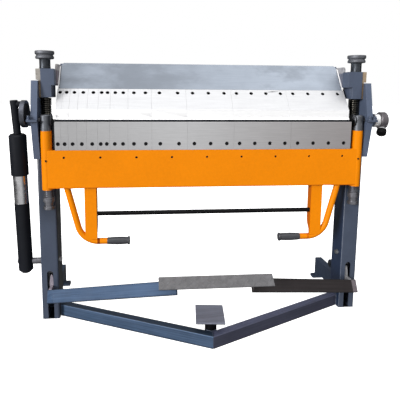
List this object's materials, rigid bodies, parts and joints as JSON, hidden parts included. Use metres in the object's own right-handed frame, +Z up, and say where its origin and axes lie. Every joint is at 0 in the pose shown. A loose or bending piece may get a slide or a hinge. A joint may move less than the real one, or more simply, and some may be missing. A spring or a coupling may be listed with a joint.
{
  "type": "sheet metal folder",
  "caption": "Free-standing foot-operated box-and-pan sheet metal folder with segmented upper fingers and folding blades on a two-column frame.",
  "frame": {"origin": "centre of the bounding box on the floor", "axes": "+X to the operator's right along the bend line, -Y towards the operator, +Z up"},
  "size_m": [1.6272, 0.678, 1.175],
  "materials": {
    "slate_paint": "satin powder coat, slate grey",
    "blue_grey_paint": "satin powder coat, lighter blue grey",
    "dark_paint": "satin paint, near black",
    "orange_paint": "semi-gloss powder coat, orange",
    "galvanised": "galvanised sheet",
    "ground_steel": "ground and brushed",
    "bright_steel": "machined, bright",
    "dark_steel": "blackened, machined",
    "spring_steel": "black oiled spring steel",
    "cast_shoe": "bare, fine sand-cast",
    "black_plastic": "moulded, matt",
    "grip_rubber": "soft ribbed grip",
    "chrome_tube": "plated tube"
  },
  "bodies": {
    "frame": {"column_left": "slate_paint", "column_right": "slate_paint", "bearing_plate_left": "slate_paint", "bearing_plate_right": "slate_paint", "spring_seats": "dark_steel", "bed_beam": "slate_paint", "floor_beam_left": "blue_grey_paint", "floor_beam_right": "slate_paint", "rear_foot_left": "slate_paint", "rear_foot_right": "slate_paint", "pedal_pivot_lugs": "slate_paint", "pedal_pivot_pins": "bright_steel", "stop_post": "black_plastic", "stop_pad": "galvanised", "column_bolts": "bright_steel", "strut_stub_pin": "bright_steel", "bearing_saddle_left": "slate_paint", "bearing_saddle_right": "slate_paint", "spring_left": "spring_steel", "spring_right": "spring_steel"},
    "clamping_beam": {"clamp_beam": "slate_paint", "clamp_front_plate": "galvanised", "clamp_end_plates": "galvanised", "end_block_left": "slate_paint", "end_block_right": "slate_paint", "guide_shoe_left": "cast_shoe", "guide_shoe_right": "cast_shoe", "pull_rods": "dark_steel", "upper_fingers": "ground_steel", "finger_screws": "dark_steel"},
    "knob_left": {"knob_left": "dark_steel"},
    "knob_right": {"knob_right": "dark_steel"},
    "pedal": {"pedal_arm_left": "blue_grey_paint", "pedal_arm_right": "dark_paint", "lever_plate_left": "bright_steel", "lever_plate_right": "bright_steel", "tread_plate": "galvanised"},
    "folding_beam": {"folding_apron": "orange_paint", "end_tube_left": "orange_paint", "end_tube_right": "orange_paint", "eye_rods": "dark_steel", "pivot_shaft_left": "dark_steel", "pivot_shaft_right": "dark_steel", "adjusting_collars": "dark_steel", "lower_blades": "ground_steel", "blade_screws": "dark_steel", "set_screws": "dark_steel", "handle_arms": "orange_paint", "handle_tubes": "orange_paint", "handle_grips": "grip_rubber", "tie_rod": "dark_steel", "crank_rear_disc": "black_plastic", "crank_disc": "bright_steel", "graduated_ring": "bright_steel"},
    "stop_disc": {"stop_disc": "dark_steel"},
    "stop_knob": {"stop_knob": "black_plastic"},
    "strut_outer": {"strut_outer_tube": "slate_paint", "strut_inner_tube": "chrome_tube"},
    "strut_inner": {"strut_rod": "dark_steel", "strut_sleeve": "dark_paint"}
  },
  "joints": [
    {"name": "fold", "type": "hinge", "parent": "frame", "child": "folding_beam", "pos_m": [0.0168, -0.063, 0.89], "axis": [-1, 0, 0], "range_deg": [0, 135]},
    {"name": "clamp_lift", "type": "slide", "parent": "frame", "child": "clamping_beam", "axis": [0, 0, 1], "range_m": [0, 0.045], "deforming": ["spring_left", "spring_right"]},
    {"name": "pedal_swing", "type": "hinge", "parent": "frame", "child": "pedal", "pos_m": [0.0168, 0.137, 0.15], "axis": [-1, 0, 0], "range_deg": [0, 18.3]},
    {"name": "knob_left_turn", "type": "hinge", "parent": "clamping_beam", "child": "knob_left", "pos_m": [-0.6632, -0.003, 1.11], "axis": [0, 0, 1], "continuous": true},
    {"name": "knob_right_turn", "type": "hinge", "parent": "clamping_beam", "child": "knob_right", "pos_m": [0.6968, -0.003, 1.11], "axis": [0, 0, 1], "continuous": true},
    {"name": "stop_disc_turn", "type": "hinge", "parent": "folding_beam", "child": "stop_disc", "pos_m": [0.7978, -0.063, 0.89], "axis": [1, 0, 0], "continuous": true},
    {"name": "stop_knob_turn", "type": "hinge", "parent": "stop_disc", "child": "stop_knob", "pos_m": [0.78869, -0.08831, 0.85148], "axis": [-0.4109, -0.5011, -0.7616], "continuous": true},
    {"name": "strut_swing", "type": "hinge", "parent": "frame", "child": "strut_outer", "pos_m": [-0.7776, 0.003, 0.26], "axis": [-1, 0, 0], "range_deg": [0, 1.3]},
    {"name": "strut_slide", "type": "slide", "parent": "strut_outer", "child": "strut_inner", "axis": [0, 0.0746, -0.9972], "range_m": [0, 0.1221]}
  ],
  "couplings": [
    {"joint": "pedal_swing", "follows": "clamp_lift", "rad_per_m": 7.062},
    {"joint": "strut_swing", "follows": "fold", "ratio": 0.009585},
    {"joint": "strut_slide", "follows": "fold", "m_per_rad": 0.051789}
  ]
}
